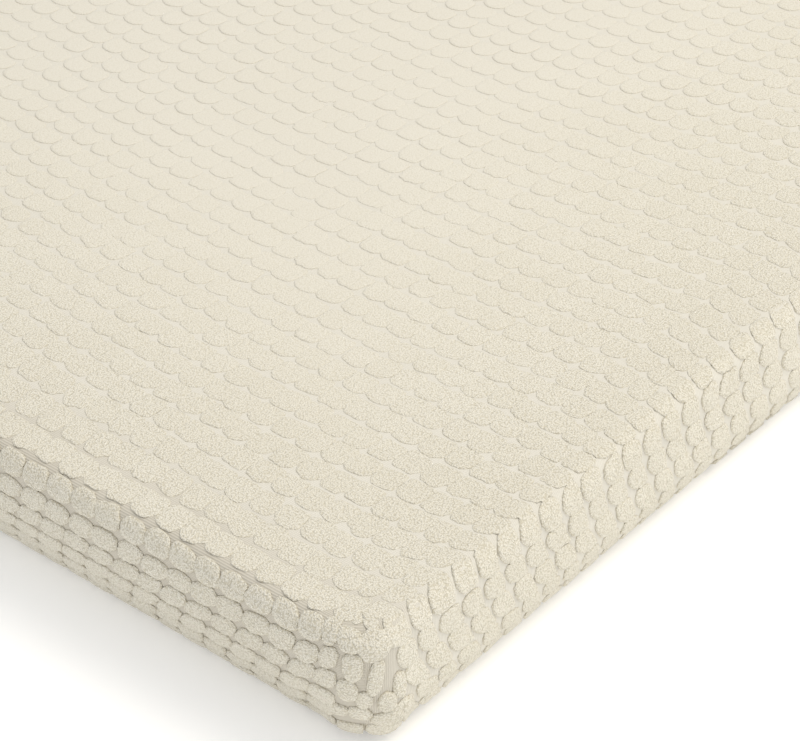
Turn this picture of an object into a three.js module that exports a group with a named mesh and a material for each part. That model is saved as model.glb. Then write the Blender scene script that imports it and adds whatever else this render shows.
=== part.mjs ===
// A pile fitted sheet stretched over a slim mattress, in millimetres, +Z up.
// The origin is the middle of the footprint, on the surface that the turned-under hem rests on.
import * as THREE from 'three';

// Outside sizes of the made-up mattress, at the widest line of its sides.
const WIDTH = 750;
const LENGTH = 950;
const HEIGHT = 60;

// The sheet: ground cloth and raised pile together, and the hem that runs in under the mattress.
const CLOTH = 3.2;
const HEM_REACH = 80;
const HEM_CORNER_RADIUS = 46;

// Room between the sheet and the mattress, on the flat faces and around the rounded edges.
const FLAT_GAP = 0.32;
const EDGE_GAP = 2;

// Corners seen from above. They tighten a little as the side tucks in under the widest line.
const CORNER_RADIUS = 16;
const CORNER_TIGHTENING = 0.5;
const CORNER_RADIUS_MIN = 6;

// Section of a side, from the top face down to the floor. A run is a length of cloth, which bends
// until it leans by the angle given: 0 is flat outwards, 90 straight down and 180 flat inwards.
// The runs are scaled together so that the side drops by HEIGHT.
const SIDE_RUNS = [
  { run: 11, lean: 90, steps: 6 },
  { run: 12, lean: 95, steps: 1 },
  { run: 12, lean: 105, steps: 2 },
  { run: 12, lean: 115, steps: 2 },
  { run: 10, lean: 117, steps: 1 },
  { run: 5, lean: 124, steps: 1 },
  { run: 9, lean: 180, steps: 4 },
];

// Unevenness of the cloth on the lower sides. It gathers beside each sewn corner, and swells slowly
// along each side.
const GATHER = { depth: 1.9, wave: 24, reach: 46, spacing: 6, span: 66 };
const SWELL = { depth: 1.1, wave: 430, shift: 1.3 };
const FOLDS_START_LEAN = 95;
const FOLDS_FULL_LEAN = 122;

// The dart sewn down each corner lies in a shallow valley.
const DART_DEPTH = 1.2;

const ARC_STEPS = 6;
const PLAIN_SIDE_STEPS = 6;

const COLOURS = { sheet: '#e0d9c6', mattress: '#eeebe3' };

const rad = THREE.MathUtils.degToRad;
const quarterTurn = Math.PI / 2;

// Corners in order around the outline, each followed by the side that leads to the next. The foam
// bulges outwards low down on the long sides.
const CORNERS = [
  { signX: 1, signY: 1, nextSide: WIDTH, bulge: 0 },
  { signX: -1, signY: 1, nextSide: LENGTH, bulge: 6 },
  { signX: -1, signY: -1, nextSide: WIDTH, bulge: 0 },
  { signX: 1, signY: -1, nextSide: LENGTH, bulge: 6 },
];

// Section points of the curve that runs a set depth inside the sheet's outer face.
function traceSide(depth, scale) {
  const points = [{ out: 0, z: -depth, lean: 0 }];
  let { out, z, lean } = points[0];
  for (const { run, lean: endLean, steps } of SIDE_RUNS) {
    const turn = rad(endLean - lean);
    const radius = (run * scale - depth * turn) / turn;
    for (let step = 1; step <= steps; step++) {
      const from = rad(lean) + (turn * (step - 1)) / steps;
      const to = rad(lean) + (turn * step) / steps;
      out += radius * (Math.sin(to) - Math.sin(from));
      z -= radius * (Math.cos(from) - Math.cos(to));
      points.push({ out, z, lean: THREE.MathUtils.radToDeg(to) });
    }
    lean = endLean;
  }
  return points;
}

const unscaled = traceSide(0, 1);
const sideScale = HEIGHT / -unscaled.at(-1).z;
const topInset = Math.max(...traceSide(0, sideScale).map((point) => point.out));

function cornerRadius(inset) {
  return Math.max(CORNER_RADIUS - inset * CORNER_TIGHTENING, CORNER_RADIUS_MIN);
}

// Outlines of a body, one for each section point: how far inside the widest line, how high, how
// rounded at the corners, and how much of the folds it shows.
function sideLevels(depth, lift) {
  return traceSide(depth, sideScale).map(({ out, z, lean }) => {
    const inset = topInset - out;
    return {
      inset,
      z: HEIGHT + z + lift * Math.cos(rad(lean)),
      radius: cornerRadius(inset),
      folds: THREE.MathUtils.smoothstep(lean, FOLDS_START_LEAN, FOLDS_FULL_LEAN) * Math.sin(rad(lean)),
    };
  });
}

// Marks along one straight side: close together where the cloth gathers, and wide apart between.
function sideMarks(straight, span, spacing) {
  const marks = [];
  for (let mark = spacing; mark <= span; mark += spacing) {
    marks.push(mark, straight - mark);
  }
  const plain = (straight - 2 * span) / PLAIN_SIDE_STEPS;
  for (let step = 1; step < PLAIN_SIDE_STEPS; step++) {
    marks.push(span + plain * step);
  }
  return marks.sort((a, b) => a - b);
}

// Stations around the outline. A turn of 0 to 1 goes round a corner, a share of 0 to 1 along the
// side after it.
function makeStations(span, spacing) {
  const stations = [];
  CORNERS.forEach(({ nextSide }, index) => {
    for (let step = 0; step <= ARC_STEPS; step++) {
      stations.push({ index, turn: step / ARC_STEPS, share: 0, fromCorner: 0, along: 0 });
    }
    const straight = nextSide - 2 * CORNER_RADIUS;
    for (const mark of sideMarks(straight, span, spacing)) {
      const fromCorner = Math.min(mark, straight - mark);
      stations.push({ index, turn: 1, share: mark / straight, fromCorner, along: mark });
    }
  });
  return stations;
}

// How far the foam bulges outwards at a station. A corner blends the bulges of its two sides.
function bulgeDepth({ index, turn, share }) {
  const before = CORNERS[(index + CORNERS.length - 1) % CORNERS.length].bulge;
  const after = CORNERS[index].bulge;
  return share > 0 ? after : THREE.MathUtils.lerp(before, after, THREE.MathUtils.smoothstep(turn, 0, 1));
}

// How far the folds push the cloth outwards at a station, past the bulge.
function foldDepth({ index, turn, share, fromCorner, along }) {
  if (share === 0) {
    const ridge = GATHER.depth * Math.abs(2 * turn - 1);
    return ridge - DART_DEPTH * (1 - Math.abs(2 * turn - 1));
  }
  const fade = Math.exp(-fromCorner / GATHER.reach);
  const gather = (GATHER.depth * fade * (1 + Math.cos((2 * Math.PI * fromCorner) / GATHER.wave))) / 2;
  const swing = Math.sin((2 * Math.PI * along) / SWELL.wave + index * SWELL.shift);
  const swell = (SWELL.depth * (1 - fade) * (1 + swing)) / 2;
  return gather + swell;
}

function arcPoint({ signX, signY }, angle, { inset, radius }) {
  const x = signX * (WIDTH / 2 - inset - radius) + radius * Math.cos(angle);
  const y = signY * (LENGTH / 2 - inset - radius) + radius * Math.sin(angle);
  return new THREE.Vector3(x, y, 0);
}

function place(station, level, pushAt) {
  const angle = (station.index + station.turn) * quarterTurn;
  const point = arcPoint(CORNERS[station.index], angle, level);
  if (station.share > 0) {
    point.lerp(arcPoint(CORNERS[(station.index + 1) % CORNERS.length], angle, level), station.share);
  }
  const push = level.folds ? level.folds * pushAt(station) : 0;
  return point.add(new THREE.Vector3(Math.cos(angle) * push, Math.sin(angle) * push, level.z));
}

// A closed body skinned over its outlines, with a flat face inside the first and the last.
function skin(levels, stations, pushAt) {
  const positions = [];
  for (const level of levels) {
    for (const station of stations) {
      positions.push(...place(station, level, pushAt));
    }
  }
  const count = stations.length;
  const faces = [];
  for (let row = 0; row + 1 < levels.length; row++) {
    for (let column = 0; column < count; column++) {
      const here = row * count + column;
      const beside = row * count + ((column + 1) % count);
      faces.push(here, here + count, beside + count, here, beside + count, beside);
    }
  }
  const firstCentre = positions.length / 3;
  positions.push(0, 0, levels[0].z, 0, 0, levels.at(-1).z);
  const lastRow = (levels.length - 1) * count;
  for (let column = 0; column < count; column++) {
    const next = (column + 1) % count;
    faces.push(firstCentre, column, next);
    faces.push(firstCentre + 1, lastRow + next, lastRow + column);
  }
  const geometry = new THREE.BufferGeometry();
  geometry.setAttribute('position', new THREE.Float32BufferAttribute(positions, 3));
  geometry.setIndex(faces);
  return geometry;
}

// The sheet goes down the sides, in under the mattress, and back up inside its own wall.
function fittedSheet() {
  const outer = sideLevels(0, 0);
  const inner = sideLevels(CLOTH, 0);
  const hemInset = outer.at(-1).inset + HEM_REACH;
  const hemEdge = { inset: hemInset, radius: HEM_CORNER_RADIUS, folds: 0 };
  const levels = [...outer, { ...hemEdge, z: 0 }, { ...hemEdge, z: CLOTH }, ...inner.reverse()];
  const material = new THREE.MeshStandardMaterial({ color: COLOURS.sheet, roughness: 0.95 });
  const stations = makeStations(GATHER.span, GATHER.spacing);
  const push = (station) => bulgeDepth(station) + foldDepth(station);
  const mesh = new THREE.Mesh(skin(levels, stations, push), material);
  mesh.name = 'fitted_sheet';
  return mesh;
}

// The mattress fills the sheet. Its flat faces lie closer to the cloth than its rounded edges do.
function mattress() {
  const levels = sideLevels(CLOTH + EDGE_GAP, EDGE_GAP - FLAT_GAP);
  const material = new THREE.MeshStandardMaterial({ color: COLOURS.mattress, roughness: 0.9 });
  const mesh = new THREE.Mesh(skin(levels, makeStations(0, WIDTH), bulgeDepth), material);
  mesh.name = 'mattress';
  return mesh;
}

const bed = new THREE.Group();
bed.add(fittedSheet(), mattress());

export default bed;
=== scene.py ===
# A fitted sheet of cut and looped pile on its slim mattress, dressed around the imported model.
# Metres. The photographed corner is at +X, -Y. X runs along the short sides, Y along the long ones.
import math

import bmesh
import bpy
import numpy as np
from mathutils import Matrix, Vector


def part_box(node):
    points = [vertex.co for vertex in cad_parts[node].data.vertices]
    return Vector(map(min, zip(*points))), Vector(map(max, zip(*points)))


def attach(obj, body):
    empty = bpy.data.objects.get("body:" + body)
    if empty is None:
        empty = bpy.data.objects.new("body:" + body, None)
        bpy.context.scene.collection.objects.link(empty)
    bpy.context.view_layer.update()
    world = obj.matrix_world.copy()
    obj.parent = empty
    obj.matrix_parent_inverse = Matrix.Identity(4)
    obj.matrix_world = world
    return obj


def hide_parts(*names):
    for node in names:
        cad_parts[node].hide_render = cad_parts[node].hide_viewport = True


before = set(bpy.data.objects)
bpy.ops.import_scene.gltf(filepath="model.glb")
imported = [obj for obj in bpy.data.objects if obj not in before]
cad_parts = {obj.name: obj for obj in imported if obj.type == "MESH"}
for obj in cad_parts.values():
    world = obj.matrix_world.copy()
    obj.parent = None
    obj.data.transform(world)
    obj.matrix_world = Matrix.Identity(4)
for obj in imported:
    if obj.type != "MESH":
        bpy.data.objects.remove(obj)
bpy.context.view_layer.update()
print("frame loaded")

# The camera comes first. It stands off the near corner and looks down over it.
view = {
    "lens": 128.2,
    "target": (0.2837, -0.3481, 0.0600),  # where the middle of the picture meets the top face
    "distance": 1.0416,
    "azimuth": 39.76,  # degrees, from +Y towards -X
    "elevation": 35.78,
    "roll": -0.28,
    "sensorWidth": 36,
}


def makeCamera():
    azimuth, elevation = math.radians(view["azimuth"]), math.radians(view["elevation"])
    forward = Vector((-math.sin(azimuth) * math.cos(elevation),
                      math.cos(azimuth) * math.cos(elevation),
                      -math.sin(elevation)))
    turn = forward.to_track_quat("-Z", "Y").to_matrix().to_4x4()
    place = Matrix.Translation(Vector(view["target"]) - forward * view["distance"])
    data = bpy.data.cameras.new("camera")
    data.lens = view["lens"]
    data.sensor_width = view["sensorWidth"]
    camera = bpy.data.objects.new("camera", data)
    camera.matrix_world = place @ turn @ Matrix.Rotation(math.radians(view["roll"]), 4, "Z")
    bpy.context.scene.collection.objects.link(camera)
    bpy.context.scene.camera = camera
    bpy.context.scene.view_settings.view_transform = "Standard"


makeCamera()
print("camera placed")

# The made-up bed: outside sizes come from the frame, and the rest is the part's own.
sheetLow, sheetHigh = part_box("fitted_sheet")
bed = {
    "width": sheetHigh.x - sheetLow.x,
    "length": sheetHigh.y - sheetLow.y,
    "height": sheetHigh.z - sheetLow.z,
    "cornerRadius": 0.016,  # seen from above, at the widest line
    "cornerTightening": 0.5,
    "cornerRadiusMin": 0.006,
    "hemReach": 0.080,
    "hemCornerRadius": 0.046,
    "longSideBulge": 0.006,
}

# Section of a side from the top face to the floor: cloth length, and the lean it bends to.
sideRuns = [
    {"run": 0.011, "lean": 90},
    {"run": 0.012, "lean": 95},
    {"run": 0.012, "lean": 105},
    {"run": 0.012, "lean": 115},
    {"run": 0.010, "lean": 117},
    {"run": 0.005, "lean": 124},
    {"run": 0.009, "lean": 180},
]

folds = {
    "gatherDepth": 0.0019,
    "gatherWave": 0.024,
    "gatherReach": 0.046,
    "swellDepth": 0.0011,
    "swellWave": 0.430,
    "swellShift": 1.3,
    "dartDepth": 0.0012,
    "startLean": 95,
    "fullLean": 122,
}

cloth = {
    "groundDepth": 0.0019,  # on the sides the ground cloth lies this far under the pile's tops
    "topRaise": 0.0013,  # on top it lies this much higher, and the pile there is brushed flat
    "topFlatness": 0.65,
    "topEndLean": 60,
    "groundThickness": 0.0013,
    "seamStart": 0.012,  # down the side, from here on a corner is a sewn dart
    "seamRoom": 0.7,
}

arcSteps = 10  # for each bend of the section
halfCorner = math.pi / 4  # each side has half of a corner's quarter turn
tinyLead = 1e-6  # keeps the flat middle of the top from a division by nothing


def smooth(value):
    share = np.clip(value, 0, 1)
    return share * share * (3 - 2 * share)


def traceSide(depth, scale):
    rows = [(0, 0, -depth, 0)]
    travelled, out, drop, lean = rows[0]
    for stretch in sideRuns:
        endLean = math.radians(stretch["lean"])
        turn = endLean - lean
        radius = (stretch["run"] * scale - depth * turn) / turn
        for step in range(arcSteps):
            near = lean + turn * step / arcSteps
            far = lean + turn * (step + 1) / arcSteps
            travelled += radius * turn / arcSteps
            out += radius * (math.sin(far) - math.sin(near))
            drop -= radius * (math.cos(near) - math.cos(far))
            rows.append((travelled, out, drop, far))
        lean = endLean
    return np.array(rows)


sideScale = bed["height"] / -traceSide(0, 1)[-1, 2]
outerTrace = traceSide(0, sideScale)
topInset = outerTrace[:, 1].max()


def cornerRadius(inset):
    return np.maximum(bed["cornerRadius"] - inset * bed["cornerTightening"], bed["cornerRadiusMin"])


def makeSection():
    # The ground cloth's outer face: down the side, then flat under the mattress to the hem.
    trace = traceSide(cloth["groundDepth"], sideScale)
    inset = topInset - trace[:, 1]
    hemInset = topInset - outerTrace[-1, 1] + bed["hemReach"]
    travelled = np.append(trace[:, 0], trace[-1, 0] + hemInset - inset[-1])
    return {
        "travelled": travelled,
        "inset": np.append(inset, hemInset),
        "z": bed["height"] + np.append(trace[:, 2], trace[-1, 2]),
        "lean": np.append(trace[:, 3], math.pi),
        "radius": np.append(cornerRadius(inset), bed["hemCornerRadius"]),
        "sideLength": trace[-1, 0],
        "fullLength": travelled[-1],
    }


section = makeSection()
topRadius = float(cornerRadius(topInset))
flatHalf = (bed["width"] / 2 - topInset, bed["length"] / 2 - topInset)
coreHalf = (flatHalf[0] - topRadius, flatHalf[1] - topRadius)


def foldPush(lean, angle, trail, other, otherCore, otherHalf, onLongSide, side):
    # How far the folds and the bulge push the cloth outwards. The sides are counted round the bed:
    # +Y, -X, -Y, +X. A corner blends the bulges of its two sides, half on each.
    cornerShare = angle / halfCorner
    straightHalf = otherHalf - bed["cornerRadius"]
    share = np.clip(other / otherCore, -1, 1)
    fromCorner = (1 - np.abs(share)) * straightHalf
    along = straightHalf * (1 + np.where(side < 2, -1, 1) * share)
    fade = np.exp(-fromCorner / folds["gatherReach"])
    gather = folds["gatherDepth"] * fade * (1 + np.cos(2 * math.pi * fromCorner / folds["gatherWave"])) / 2
    swing = np.sin(2 * math.pi * along / folds["swellWave"] + side * folds["swellShift"])
    swell = folds["swellDepth"] * (1 - fade) * (1 + swing) / 2
    ridge = folds["gatherDepth"] * (1 - cornerShare) - folds["dartDepth"] * cornerShare
    bulge = np.where(onLongSide, 1 - smooth(cornerShare / 2), smooth(cornerShare / 2))
    bulge = bulge * bed["longSideBulge"]
    degrees = np.degrees(lean)
    weight = smooth((degrees - folds["startLean"]) / (folds["fullLean"] - folds["startLean"])) * np.sin(lean)
    return weight * (bulge + np.where(trail > 0, ridge, gather + swell))


def softLimit(value, limit, start):
    # Follows value up to start, then closes in on limit without reaching it.
    room = limit - start
    return np.where(value > start, start + room * np.tanh((value - start) / room), value)


def surfacePoint(x, y, lift, onLongSide, sewn):
    # Where a point of the flat cloth comes to lie on the bed, and lift stands off the ground cloth.
    own = np.where(onLongSide, x, y)
    other = np.where(onLongSide, y, x)
    ownHalf = np.where(onLongSide, bed["width"], bed["length"]) / 2
    otherHalf = np.where(onLongSide, bed["length"], bed["width"]) / 2
    ownCore = np.where(onLongSide, coreHalf[0], coreHalf[1])
    otherCore = np.where(onLongSide, coreHalf[1], coreHalf[0])
    lead = np.abs(own) - ownCore
    trail = np.maximum(np.abs(other) - otherCore, 0)
    down = np.maximum(lead - topRadius, 0)
    inset, z, lean, radius = (
        np.interp(down, section["travelled"], section[name]) for name in ("inset", "z", "lean", "radius"))
    angle = halfCorner * trail / np.clip(lead, tinyLead, topRadius)
    if sewn:
        angle += (trail / radius - angle) * smooth(down / cloth["seamStart"])
        angle = softLimit(angle, halfCorner, halfCorner * cloth["seamRoom"])
    else:
        angle = np.minimum(angle, halfCorner)
    side = np.where(onLongSide, np.where(x > 0, 3, 1), np.where(y > 0, 0, 2))
    push = foldPush(lean, angle, trail, other, otherCore, otherHalf, onLongSide, side)
    reach = np.where(down > 0, radius, lead)
    topShare = 1 - smooth(np.degrees(lean) / cloth["topEndLean"])
    lift = lift * (1 - cloth["topFlatness"] * topShare) + cloth["topRaise"] * topShare
    standOff = push + lift * np.sin(lean)
    levelHalf = otherHalf - inset - radius
    ownPlace = ownHalf - inset - radius + reach * np.cos(angle) + standOff * np.cos(angle)
    otherPlace = np.minimum(np.abs(other), otherCore) * levelHalf / otherCore
    otherPlace = otherPlace + np.where(trail > 0, reach * np.sin(angle), 0) + standOff * np.sin(angle)
    ownPlace = ownPlace * np.sign(own)
    otherPlace = otherPlace * np.sign(other)
    return np.stack([
        np.where(onLongSide, ownPlace, otherPlace),
        np.where(onLongSide, otherPlace, ownPlace),
        z + lift * np.cos(lean),
    ], axis=-1)


def leadsOnLongSide(x, y):
    return np.abs(x) - coreHalf[0] >= np.abs(y) - coreHalf[1]


print("cloth section traced:", round(section["sideLength"] * 1000, 1), "mm of side,",
      round(section["fullLength"] * 1000, 1), "mm to the hem")


def addObject(name, mesh):
    piece = bpy.data.objects.new(name, mesh)
    bpy.context.scene.collection.objects.link(piece)
    return piece


def finishPiece(piece, material):
    piece.data.materials.clear()
    piece.data.materials.append(material)
    piece.data.polygons.foreach_set("use_smooth", np.ones(len(piece.data.polygons), dtype=bool))
    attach(piece, "root")


# Shader groups shared by the materials.
def newGroup(name, inputs, outputs):
    group = bpy.data.node_groups.new(name, "ShaderNodeTree")
    for label, kind in inputs:
        group.interface.new_socket(label, in_out="INPUT", socket_type=kind)
    for label, kind in outputs:
        group.interface.new_socket(label, in_out="OUTPUT", socket_type=kind)
    return group, group.nodes.new("NodeGroupInput"), group.nodes.new("NodeGroupOutput")


def mathNode(tree, operation, first, second):
    node = tree.nodes.new("ShaderNodeMath")
    node.operation = operation
    for socket, value in zip(node.inputs, (first, second)):
        if isinstance(value, bpy.types.NodeSocket):
            tree.links.new(value, socket)
        else:
            socket.default_value = value
    return node.outputs[0]


def mixColour(tree, share, first, second):
    node = tree.nodes.new("ShaderNodeMix")
    node.data_type = "RGBA"
    for socket, value in zip((node.inputs[0], node.inputs[6], node.inputs[7]), (share, first, second)):
        if isinstance(value, bpy.types.NodeSocket):
            tree.links.new(value, socket)
        else:
            socket.default_value = value
    return node.outputs[2]


def limitNode(tree, value):
    return mathNode(tree, "MINIMUM", mathNode(tree, "MAXIMUM", value, 0), 1)


def addShares(tree, first, firstShare, second, secondShare):
    first = mathNode(tree, "MULTIPLY", first, firstShare)
    return mathNode(tree, "ADD", first, mathNode(tree, "MULTIPLY", second, secondShare))


# The cut and looped yarn ends: round bumps, with painted shade in the gaps between them, on slower lumps.
loopShape = {
    "smoothness": 0.35,
    "lumpDetail": 1,
    "lumpDensity": 0.3,  # for each loop
    "lumpHeight": 0.6,
    "loopShadeFrom": 0.32,  # from a loop's middle, as a share of the room between loops
    "loopShadeSharpness": 2.4,
}


def makeLoopGroup():
    group, given, result = newGroup(
        "yarnLoops",
        [("Vector", "NodeSocketVector"), ("Density", "NodeSocketFloat")],
        [("Height", "NodeSocketFloat"), ("LoopShade", "NodeSocketFloat")])
    cells = group.nodes.new("ShaderNodeTexVoronoi")
    cells.feature = "SMOOTH_F1"
    cells.inputs["Smoothness"].default_value = loopShape["smoothness"]
    group.links.new(given.outputs["Vector"], cells.inputs["Vector"])
    group.links.new(given.outputs["Density"], cells.inputs["Scale"])
    lumps = group.nodes.new("ShaderNodeTexNoise")
    lumps.inputs["Detail"].default_value = loopShape["lumpDetail"]
    group.links.new(given.outputs["Vector"], lumps.inputs["Vector"])
    lumpScale = mathNode(group, "MULTIPLY", given.outputs["Density"], loopShape["lumpDensity"])
    group.links.new(lumpScale, lumps.inputs["Scale"])
    bump = mathNode(group, "SUBTRACT", 1, cells.outputs["Distance"])
    lump = mathNode(group, "MULTIPLY", lumps.outputs["Fac"], loopShape["lumpHeight"])
    group.links.new(mathNode(group, "ADD", bump, lump), result.inputs["Height"])
    # Painted shade in the gaps between loops.
    loopShade = mathNode(group, "SUBTRACT", cells.outputs["Distance"], loopShape["loopShadeFrom"])
    loopShade = mathNode(group, "MULTIPLY", loopShade, loopShape["loopShadeSharpness"])
    group.links.new(limitNode(group, loopShade), result.inputs["LoopShade"])
    return group


# Slow light and dark patches, as the nap lies one way or the other.
patchShape = {
    "detail": 3,
    "roughness": 0.55,
    "darkBelow": 0.36,
    "sharpness": 3.4,
}


def makePatchGroup():
    group, given, result = newGroup(
        "napPatches",
        [("Vector", "NodeSocketVector"), ("Density", "NodeSocketFloat")],
        [("Patch", "NodeSocketFloat")])
    wide = group.nodes.new("ShaderNodeTexNoise")
    wide.inputs["Detail"].default_value = patchShape["detail"]
    wide.inputs["Roughness"].default_value = patchShape["roughness"]
    group.links.new(given.outputs["Vector"], wide.inputs["Vector"])
    group.links.new(given.outputs["Density"], wide.inputs["Scale"])
    patch = mathNode(group, "SUBTRACT", wide.outputs["Fac"], patchShape["darkBelow"])
    patch = mathNode(group, "MULTIPLY", patch, patchShape["sharpness"])
    group.links.new(limitNode(group, patch), result.inputs["Patch"])
    return group


loopGroup = makeLoopGroup()
patchGroup = makePatchGroup()

pileLook = {
    "light": (0.855, 0.815, 0.710, 1),
    "dark": (0.815, 0.772, 0.660, 1),
    # Painted shade: the top darkens towards its middle, away from its edges.
    "brushedShade": (0.705, 0.668, 0.584, 1),
    # Painted shade between the loops.
    "loopShade": (0.60, 0.55, 0.43, 1),
    # The edge colour is painted shade, laid on each pad's sunk rim.
    "edge": (0.60, 0.54, 0.41, 1),
    "rimShadeBelow": 0.55,  # painted shade on a pad's sunk rim, below this share of its height
    "patchShare": 0.6,
    "padShare": 0.4,
    "loopsPerMetre": 1450,
    "patchesPerMetre": 14,
    "bumpDistance": 0.0005,
    "bumpStrength": 1.0,
    "leastGrain": 0.3,  # where the pile is brushed flat, its loops hardly show
    "loopShadeShare": 0.85,
    "roughness": 0.95,
    "sheen": 0.15,
    "specular": 0.2,
}


def newMaterial(name, look):
    material = bpy.data.materials.new(name)
    material.use_nodes = True
    tree = material.node_tree
    surface = tree.nodes["Principled BSDF"]
    surface.inputs["Roughness"].default_value = look["roughness"]
    surface.inputs["Sheen Weight"].default_value = look["sheen"]
    surface.inputs["Specular IOR Level"].default_value = look["specular"]
    place = tree.nodes.new("ShaderNodeTexCoord")
    return material, tree, surface, place


def addGroup(tree, group, vector, density):
    node = tree.nodes.new("ShaderNodeGroup")
    node.node_tree = group
    node.inputs["Density"].default_value = density
    tree.links.new(vector, node.inputs["Vector"])
    return node


def readAttribute(tree, name):
    node = tree.nodes.new("ShaderNodeAttribute")
    node.attribute_name = name
    return node.outputs["Fac"]


def addBump(tree, surface, height, look):
    bump = tree.nodes.new("ShaderNodeBump")
    bump.inputs["Distance"].default_value = look["bumpDistance"]
    bump.inputs["Strength"].default_value = look["bumpStrength"]
    tree.links.new(height, bump.inputs["Height"])
    tree.links.new(bump.outputs["Normal"], surface.inputs["Normal"])
    return bump


def addWave(tree, direction, vector, spacing, distortion):
    wave = tree.nodes.new("ShaderNodeTexWave")
    wave.bands_direction = direction
    wave.inputs["Scale"].default_value = 2 * math.pi / 20 / spacing  # at scale 1 it turns by 20 a metre
    wave.inputs["Distortion"].default_value = distortion
    tree.links.new(vector, wave.inputs["Vector"])
    return wave.outputs["Fac"]


def makePileMaterial():
    look = pileLook
    material, tree, surface, place = newMaterial("pile", look)
    loops = addGroup(tree, loopGroup, place.outputs["Object"], look["loopsPerMetre"])
    patches = addGroup(tree, patchGroup, place.outputs["Object"], look["patchesPerMetre"])
    padTone = readAttribute(tree, "tone")
    tone = addShares(tree, patches.outputs["Patch"], look["patchShare"], padTone, look["padShare"])
    colour = mixColour(tree, tone, look["dark"], look["light"])
    grain = mathNode(tree, "MAXIMUM", readAttribute(tree, "grain"), look["leastGrain"])
    # Towards the middle of the top, where the loops are brushed flat, painted shade darkens the colour.
    colour = mixColour(tree, mathNode(tree, "SUBTRACT", 1, grain), colour, look["brushedShade"])
    # Painted shade in the gaps between loops, as strong as the grain.
    loopShade = mathNode(tree, "MULTIPLY", grain, look["loopShadeShare"])
    loopShade = mathNode(tree, "MULTIPLY", loops.outputs["LoopShade"], loopShade)
    colour = mixColour(tree, loopShade, colour, look["loopShade"])
    # Painted shade on each pad's sunk rim, where the rise attribute is low.
    low = mathNode(tree, "SUBTRACT", look["rimShadeBelow"], readAttribute(tree, "rise"))
    colour = mixColour(tree, mathNode(tree, "MAXIMUM", low, 0), colour, look["edge"])
    tree.links.new(colour, surface.inputs["Base Color"])
    bump = addBump(tree, surface, loops.outputs["Height"], look)
    tree.links.new(mathNode(tree, "MULTIPLY", grain, look["bumpStrength"]), bump.inputs["Strength"])
    return material


groundLook = {
    "rib": (0.775, 0.738, 0.65, 1),
    # The groove colour is painted shade between the ribs.
    "grooveShade": (0.715, 0.68, 0.595, 1),
    # Darker copies of the ground colours: painted shade down the short ends.
    "endShadeRib": (0.69, 0.645, 0.555, 1),
    "endShadeGroove": (0.52, 0.48, 0.395, 1),
    "ribSpacing": 0.0008,
    "ribWaver": 0.6,
    "ribShare": 0.7,
    "patchShare": 0.3,
    "bumpDistance": 0.0002,
    "bumpStrength": 0.6,
    "roughness": 0.9,
    "sheen": 0.1,
    "specular": 0.2,
    "patchesPerMetre": 22,
}


def makeGroundMaterial():
    look = groundLook
    material, tree, surface, place = newMaterial("groundCloth", look)
    ribs = addWave(tree, "Y", place.outputs["UV"], look["ribSpacing"], look["ribWaver"])
    patches = addGroup(tree, patchGroup, place.outputs["Object"], look["patchesPerMetre"])
    share = addShares(tree, ribs, look["ribShare"], patches.outputs["Patch"], look["patchShare"])
    # Painted shade in the grooves between the ribs.
    awayFromEnds = mixColour(tree, share, look["grooveShade"], look["rib"])
    endShaded = mixColour(tree, share, look["endShadeGroove"], look["endShadeRib"])
    # Painted shade towards and down the short ends, by the stretch attribute.
    colour = mixColour(tree, readAttribute(tree, "stretch"), awayFromEnds, endShaded)
    tree.links.new(colour, surface.inputs["Base Color"])
    addBump(tree, surface, ribs, look)
    return material


coverLook = {
    "thread": (0.86, 0.84, 0.79, 1),
    # The hollow colour is painted shade between the threads.
    "hollowShade": (0.60, 0.58, 0.53, 1),
    "threadSpacing": 0.0009,
    "threadWaver": 0.4,
    "weaveShare": 0.8,
    "patchShare": 0.2,
    "bumpDistance": 0.0003,
    "bumpStrength": 0.6,
    "roughness": 0.85,
    "sheen": 0.1,
    "specular": 0.2,
    "patchesPerMetre": 9,
}


def makeCoverMaterial():
    look = coverLook
    material, tree, surface, place = newMaterial("wovenCover", look)
    threads = [addWave(tree, direction, place.outputs["Object"], look["threadSpacing"], look["threadWaver"])
               for direction in ("X", "Y")]
    weave = mathNode(tree, "MULTIPLY", *threads)
    patches = addGroup(tree, patchGroup, place.outputs["Object"], look["patchesPerMetre"])
    share = addShares(tree, weave, look["weaveShare"], patches.outputs["Patch"], look["patchShare"])
    # Painted shade in the hollows between the threads.
    tree.links.new(mixColour(tree, share, look["hollowShade"], look["thread"]), surface.inputs["Base Color"])
    addBump(tree, surface, weave, look)
    return material


pileMaterial = makePileMaterial()
groundMaterial = makeGroundMaterial()
coverMaterial = makeCoverMaterial()
print("materials made")

# The ground cloth: one sheet, from the top face down the sides and in under the mattress.
ground = {
    "lineSpacing": 0.014,
    "cornerLines": 5,
    "gatherSpacing": 0.005,
    "gatherSpan": 0.070,
    "sideRings": 26,
    "hemRings": 4,
    "bandWidth": 0.018,  # the hem, turned once to the inside and sewn flat
    "bandStep": 0.0020,
    "bandDrop": 0.0013,
    "turnSteps": 6,
    "returnLength": 0.014,
    "endShadeFrom": 0.040,  # in from the short ends, the ground cloth is painted darker: painted shade towards and down the ends
    "endShadeOver": 0.045,
    "tolerance": 1e-5,
}


def gridLines(core):
    corner = np.linspace(core, core + topRadius, ground["cornerLines"] + 1)
    gather = core - np.arange(1, ground["gatherSpan"] / ground["gatherSpacing"]) * ground["gatherSpacing"]
    inner = gather.min()
    middle = np.linspace(-inner, inner, 2 * round(inner / ground["lineSpacing"]) + 1)
    return np.concatenate([-corner[::-1], -gather, middle[1:-1], gather[::-1], corner])


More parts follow.
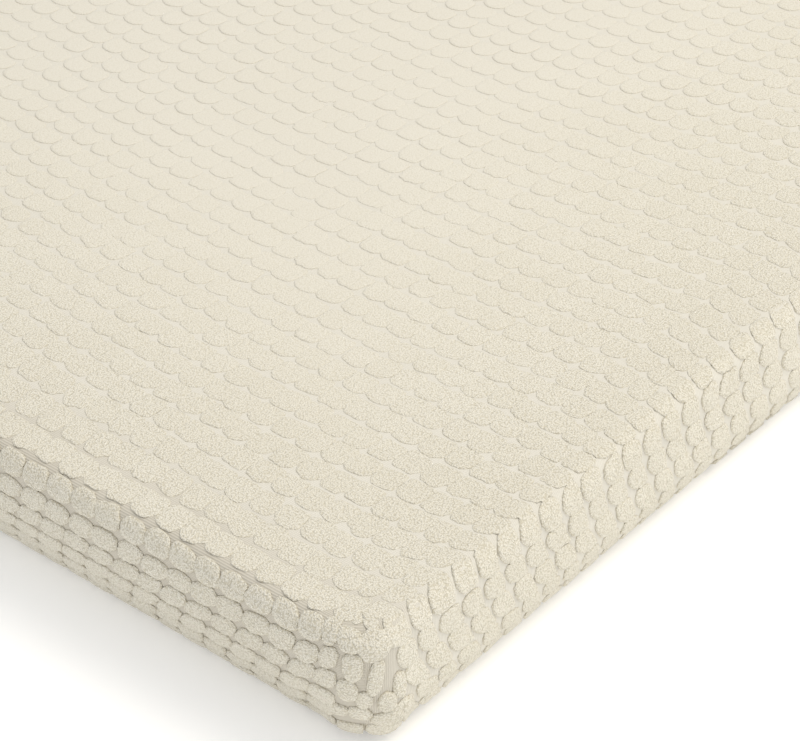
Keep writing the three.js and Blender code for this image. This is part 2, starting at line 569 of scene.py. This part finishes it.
def hemRings():
    # Distance down the cloth, and how far the ring stands off the ground face.
    end = section["fullLength"]
    start = end - ground["bandWidth"]
    side = section["sideLength"]
    rings = [(down, 0) for down in np.linspace(0, side, ground["sideRings"] + 1)[1:]]
    beforeBand = start - ground["bandStep"]
    rings += [(down, 0) for down in np.linspace(side, beforeBand, ground["hemRings"] + 1)[1:]]
    drop = ground["bandDrop"]
    rings += [(start - ground["bandStep"] / 2, drop / 2), (start, drop), ((start + end) / 2, drop)]
    middle = end - drop
    for step in range(ground["turnSteps"] + 1):
        angle = math.pi / 2 - math.pi * step / ground["turnSteps"]
        rings.append((middle + drop * math.cos(angle), drop * math.sin(angle)))
    rings.append((middle - ground["returnLength"], -drop))
    return rings


def growRing(mesh, edges):
    # Extrudes a ring of edges, and gives the new vertices and the new ring.
    grown = bmesh.ops.extrude_edge_only(mesh, edges=edges)["geom"]
    verts = [item for item in grown if isinstance(item, bmesh.types.BMVert)]
    found = set(verts)
    ring = [item for item in grown if isinstance(item, bmesh.types.BMEdge)
            and item.verts[0] in found and item.verts[1] in found]
    return verts, ring


def makeGroundCloth():
    linesX, linesY = gridLines(coreHalf[0]), gridLines(coreHalf[1])
    mesh = bmesh.new()
    bmesh.ops.create_grid(mesh, x_segments=len(linesX) - 1, y_segments=len(linesY) - 1, size=1)
    layerX = mesh.verts.layers.float.new("clothX")
    layerY = mesh.verts.layers.float.new("clothY")
    layerDown = mesh.verts.layers.float.new("clothDown")
    layerLift = mesh.verts.layers.float.new("clothLift")
    for vert in mesh.verts:
        vert[layerX] = linesX[round((vert.co.x + 1) / 2 * (len(linesX) - 1))]
        vert[layerY] = linesY[round((vert.co.y + 1) / 2 * (len(linesY) - 1))]
    edges = [edge for edge in mesh.edges if edge.is_boundary]
    for down, lift in hemRings():
        verts, edges = growRing(mesh, edges)
        for vert in verts:
            vert[layerDown] = down
            vert[layerLift] = lift
    x, y, down, lift = (
        np.array([vert[layer] for vert in mesh.verts]) for layer in (layerX, layerY, layerDown, layerLift))
    longEdge = flatHalf[0] - ground["tolerance"]
    onLongSide = np.where(down > 0, np.abs(x) > longEdge, leadsOnLongSide(x, y))
    clothX = x + np.where(onLongSide, np.sign(x) * down, 0)
    clothY = y + np.where(onLongSide, 0, np.sign(y) * down)
    places = surfacePoint(clothX, clothY, lift, onLongSide, sewn=False)
    for vert, place in zip(mesh.verts, places):
        vert.co = place
    unrolled = mesh.loops.layers.uv.new("UVMap")
    for face in mesh.faces:
        alongLongSide = all(abs(vert[layerX]) > longEdge for vert in face.verts)
        for loop in face.loops:
            vert = loop.vert
            shift = vert[layerDown]
            u, v = vert[layerX], vert[layerY]
            if alongLongSide:
                u += math.copysign(shift, u)
            else:
                v += math.copysign(shift, v)
            loop[unrolled].uv = (u, v)
    bmesh.ops.recalc_face_normals(mesh, faces=mesh.faces)
    top = max(mesh.faces, key=lambda face: face.calc_center_median().z)
    if top.normal.z < 0:
        bmesh.ops.reverse_faces(mesh, faces=mesh.faces)
    data = bpy.data.meshes.new("ground_cloth")
    mesh.to_mesh(data)
    mesh.free()
    # The stretch attribute carries painted shade, rising towards and down the short ends.
    stretch = smooth((np.abs(clothY) - flatHalf[1] + ground["endShadeFrom"]) / ground["endShadeOver"])
    data.attributes.new("stretch", "FLOAT", "POINT").data.foreach_set("value", stretch.astype(np.float32))
    piece = addObject("ground_cloth", data)
    wall = piece.modifiers.new("thickness", "SOLIDIFY")
    wall.thickness = cloth["groundThickness"]
    wall.offset = -1
    finishPiece(piece, groundMaterial)
    return piece


groundCloth = makeGroundCloth()
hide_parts("fitted_sheet")
print("ground cloth made")

# The pads of pile stand on the ground cloth in rows along X, a narrow strip of ground between rows.
pad = {
    "columnStep": 0.0118,
    "rowStep": 0.0126,
    "columnStart": 0.2160,  # X of a line between two columns
    "rowStart": -0.3199,  # Y of a line between two rows
    "sideShare": 0.88,  # the lines lie closer down the sides, where the cloth is not stretched
    "nearFrom": (0.100, -0.150),  # pads beyond this, towards the photographed corner, are finer
    "topBands": 4,
    "crownRise": 0.04,  # of a pad's height
    "grainSpan": 0.30,  # the loops stand up along the edges and are brushed flat from this far in, and painted shade darkens the top over the same span
    "seed": 5,
}
padSides = {"near": 26, "far": 14, "under": 10}

# How unlike each other the pads are, as spreads of a normal draw, and how low and how high one of
# them may be for its kind.
uneven = {
    "rim": 0.040,
    "turn": 0.05,
    "width": 0.025,
    "depth": 0.03,
    "place": 0.02,
    "lowest": 0.6,
    "highest": 1.25,
}

# The pads on top meet side by side, and mostly their round -Y ends show. Those on the sides are
# plump and whole. Half sizes are shares of a column step and of a row step. A ring is a share of
# the rim and a share of the height, and the first is sunk into the ground cloth.
topPad = {
    "grain": 1,  # how strongly the loops show, in bump and in the painted shade between them
    "halfWidth": 0.520,
    "halfDepth": 0.475,
    "squareness": 4.4,  # of the outline's +Y half
    "squarenessBelow": 2.1,
    "height": 0.0011,
    "heightSpread": 0.20,
    "tilt": 0.5,  # how much lower a pad is along its +Y edge than at its round end
    "edgeShade": 0.15,  # how dark the painted shade on its sunk rim is
    "far": [(1.00, -0.20), (0.985, 0.50), (0.93, 0.92), (0.70, 0.99)],
}
nearTopPad = {  # squarer, so that a row comes closer to a band
    **topPad,
    "squareness": 5.5,
    "squarenessBelow": 2.6,
    "near": [(1.00, -0.20), (1.00, 0.25), (0.97, 0.62), (0.92, 0.87), (0.72, 0.99)],
}
longPad = {  # down the long sides they are half way between the two
    "grain": 1.0,
    "halfWidth": 0.520,
    "halfDepth": 0.455,
    "squareness": 4.4,
    "squarenessBelow": 2.1,
    "height": 0.0009,
    "heightSpread": 0.12,
    "tilt": 0.4,
    "edgeShade": 0.3,
    "near": [(0.99, -0.12), (1.01, 0.25), (0.97, 0.60), (0.90, 0.86), (0.74, 0.98)],
    "far": [(0.98, -0.12), (1.00, 0.40), (0.88, 0.92)],
}
plumpRings = [(0.98, -0.12), (1.01, 0.22), (0.97, 0.52), (0.87, 0.80), (0.64, 0.97)]
rimPad = {  # the first row down the near side
    "grain": 1.08,
    "halfWidth": 0.515,
    "halfDepth": 0.455,
    "squareness": 3.0,
    "squarenessBelow": 2.3,
    "height": 0.0014,
    "heightSpread": 0.06,
    "tilt": 0,
    "edgeShade": 0.45,
    "near": plumpRings,
    "toRow": 13,
}
sidePad = {
    "grain": 1.08,
    "halfWidth": 0.525,
    "halfDepth": 0.495,
    "squareness": 2.6,
    "squarenessBelow": 2.3,
    "height": 0.0012,
    "heightSpread": 0.06,
    "tilt": 0,
    "edgeShade": 0.4,
    "near": plumpRings,
    "far": [(0.98, -0.12), (1.00, 0.40), (0.84, 0.90)],
}
lowPad = {  # low down on the near side the rows are closer to bands
    "grain": 0.95,
    "halfWidth": 0.53,
    "halfDepth": 0.46,
    "squareness": 3.4,
    "squarenessBelow": 2.5,
    "height": 0.0015,
    "heightSpread": 0.06,
    "tilt": 0.2,
    "edgeShade": 0.45,
    "near": plumpRings,
    "fromRow": 15,
}
underPad = {
    "grain": 1,
    "halfWidth": 0.49,
    "halfDepth": 0.46,
    "squareness": 2.9,
    "squarenessBelow": 2.7,
    "height": 0.0014,
    "heightSpread": 0.05,
    "tilt": 0,
    "edgeShade": 1,
    "under": [(0.98, -0.12), (0.94, 0.85)],
}

# How far the lines run off straight on the top, in metres, for each 0.1 m from the middle of the
# bend. It levels out far from there.
bend = {
    "middle": (0.2226, -0.3014),
    "span": 0.1,
    "acrossLimits": (-2.6, -1.6, 1.15, 0.8),
    "alongLimits": (-2.0, -1.7, 2.4, 1.6),
    "column": {
        "across": -0.0013,
        "along": 0.0050,
        "acrossTwice": -0.0017,
        "both": -0.0019,
        "alongTwice": -0.0007,
    },
    "row": {
        "across": -0.0018,
        "along": -0.0031,
        "acrossTwice": 0.0035,
        "both": 0.0043,
        "alongTwice": 0.0013,
    },
}

# The front side: its rows lie along the edge, its columns lean, and both shift from those on top.
# It begins at a count of rows, and the right side at a count of columns. The rest is in metres.
frontSide = {
    "row": 12,
    "past": 0.0012,
    "rowStep": 0.0106,
    "from": 8.5,
    "over": 3.5,
    "shift": 0.0086,
    "shiftAcross": -0.0020,
    "slant": -0.014,
    "slantFrom": 0.5,
    "slantOver": 5,
    "cornerRise": 0.0040,
    "cornerFrom": 0.335,
    "cornerOver": 0.027,
    "endsAt": 0.375,
    "endsOver": 0.020,
}

# The right side: its columns lie along the edge, and its rows dip over the edge and rise below it.
rightSide = {
    "column": 14,
    "past": 0.0032,
    "columnStep": 0.01243,
    "columnStepOnTop": 0.0100,
    "from": 11,
    "over": 3,
    "slope": 0.0406,
    "slopeMiddle": -0.340,
    "slopeSpan": 0.20,
    "dip": -0.008,
    "dipAtCorner": 0.005,
    "dipChangeFrom": -0.267,  # from here on towards the corner
    "dipChangeOver": 0.176,
    "dipChangeMost": 1.1,
    "cornerPull": -0.003,
    "cornerPullFrom": 0.430,
    "cornerPullOver": 0.015,
    "dipFrom": 0.340,
    "dipOver": 0.033,
    "rise": 0.40,
    "riseFrom": 0.373,
    "riseBlend": 0.010,
    "fadeFrom": -0.250,
    "fadeOver": 0.250,
}


def makePadMesh(name, shape, detail):
    mesh = bmesh.new()
    bmesh.ops.create_circle(mesh, cap_ends=True, segments=padSides[detail], radius=1)
    for vert in mesh.verts:
        power = 2 / shape["squareness" if vert.co.y > 0 else "squarenessBelow"]
        vert.co.x = math.copysign(abs(vert.co.x) ** power, vert.co.x)
        vert.co.y = math.copysign(abs(vert.co.y) ** power, vert.co.y)
    share, level = shape[detail][0]
    bmesh.ops.scale(mesh, verts=mesh.verts, vec=(share, share, 1))
    bmesh.ops.translate(mesh, verts=mesh.verts, vec=(0, 0, level))
    edges = mesh.edges[:]
    for nextShare, nextLevel in shape[detail][1:]:
        verts, edges = growRing(mesh, edges)
        bmesh.ops.scale(mesh, verts=verts, vec=(nextShare / share, nextShare / share, 1))
        bmesh.ops.translate(mesh, verts=verts, vec=(0, 0, nextLevel - level))
        share, level = nextShare, nextLevel
    top = bmesh.ops.contextual_create(mesh, geom=edges)["faces"]
    crown = bmesh.ops.poke(mesh, faces=top)["verts"]
    bmesh.ops.translate(mesh, verts=crown, vec=(0, 0, pad["crownRise"]))
    bmesh.ops.recalc_face_normals(mesh, faces=mesh.faces)
    data = bpy.data.meshes.new(name)
    mesh.to_mesh(data)
    mesh.free()
    return data


def bendBy(shape, across, along):
    return (shape["across"] * across + shape["along"] * along + shape["acrossTwice"] * across ** 2
            + shape["both"] * across * along + shape["alongTwice"] * along ** 2)


def softSpan(value, limits):
    low, lowStart, high, highStart = limits
    return -softLimit(-softLimit(value, high, highStart), -low, -lowStart)


def foldUnder(value, half):
    return np.where(value < -half, -half + (value + half) * pad["sideShare"], value)


def clothPlace(column, row):
    # From lattice counts to flat cloth coordinates.
    x = pad["columnStart"] + pad["columnStep"] * column
    y = pad["rowStart"] - pad["rowStep"] * row
    across = softSpan((x - bend["middle"][0]) / bend["span"], bend["acrossLimits"])
    along = softSpan((y - bend["middle"][1]) / bend["span"], bend["alongLimits"])
    x = x + bendBy(bend["column"], across, along)
    y = y + bendBy(bend["row"], across, along)
    x = foldUnder(x, flatHalf[0])
    y = -foldUnder(-y, flatHalf[1])
    x, y, onFront = placeOnFront(x, y, row, across)
    return placeOnRight(x, y, column, onFront)


def placeOnFront(x, y, row, across):
    near = smooth((row - frontSide["from"]) / frontSide["over"])
    beyond = row - frontSide["row"]
    step = np.where(beyond > 0, frontSide["rowStep"], pad["rowStep"])
    rise = frontSide["cornerRise"] * smooth((x - frontSide["cornerFrom"]) / frontSide["cornerOver"])
    y = y + (rise - flatHalf[1] - frontSide["past"] - step * beyond - y) * near
    x = x + near * (frontSide["shift"] + frontSide["shiftAcross"] * np.maximum(across, 0))
    x = x + frontSide["slant"] * smooth((beyond - frontSide["slantFrom"]) / frontSide["slantOver"])
    return x, y, near * smooth((frontSide["endsAt"] - x) / frontSide["endsOver"])


def placeOnRight(x, y, column, onFront):
    near = smooth((column - rightSide["from"]) / rightSide["over"])
    beyond = column - rightSide["column"]
    step = np.where(beyond > 0, rightSide["columnStep"], rightSide["columnStepOnTop"])
    span = rightSide["slopeSpan"]
    slope = rightSide["slope"] * span * np.tanh((y - rightSide["slopeMiddle"]) / span)
    x = x + (flatHalf[0] + rightSide["past"] + step * beyond + slope - x) * near
    toCorner = (rightSide["dipChangeFrom"] - y) / rightSide["dipChangeOver"]
    toCorner = np.clip(toCorner, 0, rightSide["dipChangeMost"])
    dip = rightSide["dip"] + (rightSide["dipAtCorner"] - rightSide["dip"]) * toCorner
    pull = smooth((-y - rightSide["cornerPullFrom"]) / rightSide["cornerPullOver"])
    dip = dip + rightSide["cornerPull"] * pull
    dip = dip * smooth((x - rightSide["dipFrom"]) / rightSide["dipOver"])
    rise = x - rightSide["riseFrom"]
    rise = rightSide["rise"] * (rise + np.sqrt(rise ** 2 + rightSide["riseBlend"] ** 2)) / 2
    fade = smooth(1 - (y - rightSide["fadeFrom"]) / rightSide["fadeOver"])
    return x, y + (dip + rise) * (1 - onFront) * fade


# Pads crowded around a sewn corner. Millimetres along the outline from the corner's
# middle, with the long side positive, and down the side; then half width, half height, and a turn
# in degrees.
cornerPads = [
    (-8.8, -4.7, 4.4, 4.4, 0),
    (-2.7, -4.5, 2.6, 4.3, 0),
    (3.1, -2.1, 2.8, 4.5, 0),
    (-5.0, 4.6, 4.3, 4.0, -8),
    (3.2, 7.0, 5.4, 5.9, 25),
    (-4.2, 15.0, 3.6, 6.4, 0),
    (3.4, 20.5, 2.7, 8.6, -9),
    (-6.0, 26.6, 3.7, 5.8, 6),
    (-0.4, 31.0, 2.7, 4.6, 0),
    (-1.6, 39.6, 3.6, 4.6, 4),
    (6.6, 33.4, 2.9, 5.0, -5),
    (12.2, 28.4, 3.0, 6.0, -8),
    (6.0, 43.4, 4.4, 5.0, 0),
    (-9.6, 40.0, 4.8, 4.0, -12),
    (12.8, 42.4, 3.4, 6.0, -6),
]
cornerRoom = {  # no pads of the lattice stand in here
    "end": 0.0095,
    "long": 0.0100,
    "down": -0.003,
    "bottom": 0.047,
}


def cornerPlace(past, down, signX, signY):
    # From a place along the outline and down the side, at a corner, to flat cloth coordinates.
    inset, radius = (
        np.interp(np.maximum(down, 0), section["travelled"], section[name]) for name in ("inset", "radius"))
    arc = radius * halfCorner
    onLongSide = past > 0
    gone = np.abs(past)
    trail = topRadius * np.clip((arc - gone) / arc, 0, 1)
    ownCore = np.where(onLongSide, coreHalf[0], coreHalf[1])
    otherCore = np.where(onLongSide, coreHalf[1], coreHalf[0])
    level = np.where(onLongSide, bed["length"], bed["width"]) / 2 - inset - radius
    other = np.where(gone > arc, (level + arc - gone) * otherCore / level, otherCore + trail)
    own = ownCore + topRadius + down
    x = np.where(onLongSide, own, other) * signX
    y = np.where(onLongSide, other, own) * signY
    return x, y, onLongSide


# The lattice is counted out past the cloth on every side, and cut back to these margins.
cut = {
    "columns": (-80, 40),
    "rows": (-100, 50),
    "seamFrom": 0.004,  # down the side, from here on the cut follows the seam
    "seamOnTop": 1.1,
    "seamRoom": 0.001,
    "underRoom": 0.004,
    "hemRoom": 0.006,
}
onTop, onSide, underneath = range(3)  # the regions of the cut cloth


def listPads():
    # Counts of every pad centre on the cut cloth, and the region that each lies in.
    grids = np.meshgrid(np.arange(*cut["columns"]), np.arange(*cut["rows"]))
    column, row = (grid.ravel() + 0.5 for grid in grids)
    x, y = clothPlace(column, row)
    lead = np.maximum(np.abs(x) - flatHalf[0], np.abs(y) - flatHalf[1])
    onLongSide = leadsOnLongSide(x, y)
    trail = np.where(onLongSide, np.abs(y) - coreHalf[1], np.abs(x) - coreHalf[0])
    radius = np.interp(np.maximum(lead, 0), section["travelled"], section["radius"])
    seamOnSide = radius * halfCorner + cut["seamRoom"]
    seam = np.where(lead < cut["seamFrom"], topRadius * cut["seamOnTop"], seamOnSide)
    room = lead < section["fullLength"] - ground["bandWidth"] - cut["hemRoom"]
    kept = room & ((trail < seam) | (lead < 0))
    fromCorner = radius * halfCorner - trail
    beside = fromCorner < np.where(onLongSide, cornerRoom["long"], cornerRoom["end"])
    kept &= ~(beside & (lead > cornerRoom["down"]) & (lead < cornerRoom["bottom"]))
    above = lead < section["sideLength"] - cut["underRoom"]
    region = np.where(lead < 0, onTop, np.where(above, onSide, underneath))
    listed = {"column": column, "row": row, "x": x, "y": y, "region": region, "onLongSide": onLongSide}
    return {name: values[kept] for name, values in listed.items()}


allPads = listPads()
print("pads listed:", len(allPads["column"]))


def repeatPad(name, count, shape, detail):
    # One pad, repeated in place by an array. Each copy is set down on the cloth afterwards.
    base = addObject(name + "_one", makePadMesh(name + "_one", shape, detail))
    repeat = base.modifiers.new("repeat", "ARRAY")
    repeat.count = count
    repeat.use_relative_offset = False
    repeat.use_constant_offset = True
    repeat.constant_offset_displace = (0, 0, 0)
    evaluated = base.evaluated_get(bpy.context.evaluated_depsgraph_get())
    data = bpy.data.meshes.new_from_object(evaluated)
    bpy.data.objects.remove(base)
    data.name = name
    places = np.zeros(len(data.vertices) * 3, dtype=np.float32)
    data.vertices.foreach_get("co", places)
    places = places.reshape(count, -1, 3).astype(float)
    return data, places[..., 0], places[..., 1], places[..., 2]


def wobblePads(across, along, sides, random):
    # An uneven rim for every pad.
    direction = np.arctan2(along, across)
    wobble = np.ones_like(across)
    for wave in range(2, sides // 2):
        depth = random.normal(0, uneven["rim"] / wave ** 0.5, (len(across), 1))
        start = random.uniform(0, 2 * math.pi, (len(across), 1))
        wobble += depth * np.cos(wave * direction + start)
    return wobble


def turnPads(across, along, turn):
    return across * np.cos(turn) - along * np.sin(turn), across * np.sin(turn) + along * np.cos(turn)


def liftPads(shape, along, rise, random):
    share = random.normal(1, shape["heightSpread"], (len(rise), 1))
    height = shape["height"] * share.clip(uneven["lowest"], uneven["highest"])
    return rise * height * (1 - shape["tilt"] * (along + 1) / 2)


def settlePads(data, placed, shape, rise, random):
    data.vertices.foreach_set("co", placed.reshape(-1).astype(np.float32))
    tone = np.repeat(random.uniform(0, 1, len(rise)), rise.shape[1])
    # The rise attribute carries painted shade: it drops on the sunk rim by the shape's edgeShade.
    rimShadeLevel = 1 - (1 - rise.reshape(-1)) * shape["edgeShade"]
    inside = np.minimum(flatHalf[0] - np.abs(placed[..., 0]), flatHalf[1] - np.abs(placed[..., 1]))
    grain = smooth(1 - inside.reshape(-1) / pad["grainSpan"]) * shape["grain"]
    for label, values in (("rise", rimShadeLevel), ("tone", tone), ("grain", grain)):
        layer = data.attributes.new(label, "FLOAT", "POINT")
        layer.data.foreach_set("value", values.astype(np.float32))
    data.update()
    piece = addObject(data.name, data)
    finishPiece(piece, pileMaterial)
    print(data.name, len(rise), "pads")
    return piece


def spreadPads(name, chosen, shape, detail, seed):
    random = np.random.default_rng(seed)
    count = int(chosen.sum())
    data, across, along, rise = repeatPad(name, count, shape, detail)
    wobble = wobblePads(across, along, padSides[detail], random)
    sideways, upwards = turnPads(across, along, random.normal(0, uneven["turn"], (count, 1)))
    width = shape["halfWidth"] * random.normal(1, uneven["width"], (count, 1))
    depth = shape["halfDepth"] * random.normal(1, uneven["depth"], (count, 1))
    column = allPads["column"][chosen][:, None] + sideways * wobble * width
    column = column + random.normal(0, uneven["place"], (count, 1))
    row = allPads["row"][chosen][:, None] - upwards * wobble * depth
    row = row + random.normal(0, uneven["place"], (count, 1))
    x, y = clothPlace(column, row)
    lift = liftPads(shape, along, rise, random)
    region = allPads["region"][chosen][:, None]
    ownSide = allPads["onLongSide"][chosen][:, None]
    onLongSide = np.where(region == onTop, leadsOnLongSide(x, y), ownSide)
    placed = surfacePoint(x, y, lift, onLongSide, sewn=True)
    return settlePads(data, placed, shape, rise, random)


def makeCornerPads(name, seed):
    random = np.random.default_rng(seed)
    corners = [(1, -1), (1, 1), (-1, 1), (-1, -1)]
    signX, signY = (np.repeat(signs, len(cornerPads))[:, None] for signs in zip(*corners))
    listed = np.tile(np.array(cornerPads), (len(corners), 1))
    past, down, halfWidth, halfHeight = (listed[:, [index]] / 1000 for index in range(4))
    turn = np.radians(listed[:, [4]])
    data, across, along, rise = repeatPad(name, len(listed), sidePad, "near")
    wobble = wobblePads(across, along, padSides["near"], random)
    sideways, upwards = turnPads(across * wobble * halfWidth, along * wobble * halfHeight, turn)
    lift = liftPads(sidePad, along, rise, random)
    x, y, onLongSide = cornerPlace(past + sideways, down - upwards, signX, signY)
    placed = surfacePoint(x, y, lift, onLongSide, sewn=False)
    return settlePads(data, placed, sidePad, rise, random)


def makePads():
    region, x, y = allPads["region"], allPads["x"], allPads["y"]
    top = region == onTop
    longSide = (region == onSide) & allPads["onLongSide"]
    end = (region == onSide) & ~allPads["onLongSide"]
    close = (x > pad["nearFrom"][0]) & (y < pad["nearFrom"][1]) & (region != underneath)
    rim = close & end & (allPads["row"] < rimPad["toRow"])
    low = close & end & (allPads["row"] > lowPad["fromRow"])
    listed = [
        ("top_pile_near", close & top, nearTopPad, "near"),
        ("front_pile_rim", rim, rimPad, "near"),
        ("front_pile_near", close & end & ~rim & ~low, sidePad, "near"),
        ("front_pile_low", low, lowPad, "near"),
        ("right_pile_near", close & longSide, longPad, "near"),
        ("end_pile", end & ~close, sidePad, "far"),
        ("long_side_pile", longSide & ~close, longPad, "far"),
        ("underside_pile", region == underneath, underPad, "under"),
    ]
    limits = np.linspace(-flatHalf[1], flatHalf[1], pad["topBands"] + 1)
    for index in range(pad["topBands"]):
        band = (y >= limits[index]) & (y < limits[index + 1])
        listed.append((f"top_pile_{index + 1}", top & ~close & band, topPad, "far"))
    pieces = [makeCornerPads("corner_pile", pad["seed"])]
    for index, (name, chosen, shape, detail) in enumerate(listed, start=1):
        pieces.append(spreadPads(name, chosen, shape, detail, pad["seed"] + index))
    return pieces


pilePieces = makePads()

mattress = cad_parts["mattress"]
mattress.data.materials.clear()
mattress.data.materials.append(coverMaterial)

# Floor and light.
studio = {
    "floorSize": 6,
    "floorColour": (0.95, 0.95, 0.95, 1),
    "floorRoughness": 0.9,
    "floorGlow": 0.20,
    "floorGlowColour": (1, 1, 1, 1),
    "worldColour": (0.97, 0.98, 1.0, 1),
    "worldStrength": 0.77,
    "keyColour": (1.0, 0.94, 0.82),
    "keyPower": 35,
    "keySize": 1.6,
    "keyPlace": (1.25, 0.55, 2.3),
    "keyAim": (0.1, -0.1, 0),
}


def makeFloor():
    mesh = bmesh.new()
    bmesh.ops.create_grid(mesh, x_segments=1, y_segments=1, size=studio["floorSize"] / 2)
    data = bpy.data.meshes.new("floor")
    mesh.to_mesh(data)
    mesh.free()
    floor = addObject("floor", data)
    material = bpy.data.materials.new("floorPaper")
    material.use_nodes = True
    surface = material.node_tree.nodes["Principled BSDF"]
    surface.inputs["Base Color"].default_value = studio["floorColour"]
    surface.inputs["Roughness"].default_value = studio["floorRoughness"]
    surface.inputs["Emission Color"].default_value = studio["floorGlowColour"]
    surface.inputs["Emission Strength"].default_value = studio["floorGlow"]
    data.materials.append(material)


def makeLights():
    world = bpy.data.worlds.new("studio")
    world.use_nodes = True
    sky = world.node_tree.nodes["Background"]
    sky.inputs["Color"].default_value = studio["worldColour"]
    sky.inputs["Strength"].default_value = studio["worldStrength"]
    bpy.context.scene.world = world
    data = bpy.data.lights.new("key", "AREA")
    data.color = studio["keyColour"]
    data.energy = studio["keyPower"]
    data.size = studio["keySize"]
    key = bpy.data.objects.new("key", data)
    aim = Vector(studio["keyAim"]) - Vector(studio["keyPlace"])
    turn = aim.to_track_quat("-Z", "Y").to_matrix().to_4x4()
    key.matrix_world = Matrix.Translation(studio["keyPlace"]) @ turn
    bpy.context.scene.collection.objects.link(key)


makeFloor()
makeLights()
print("stage set")
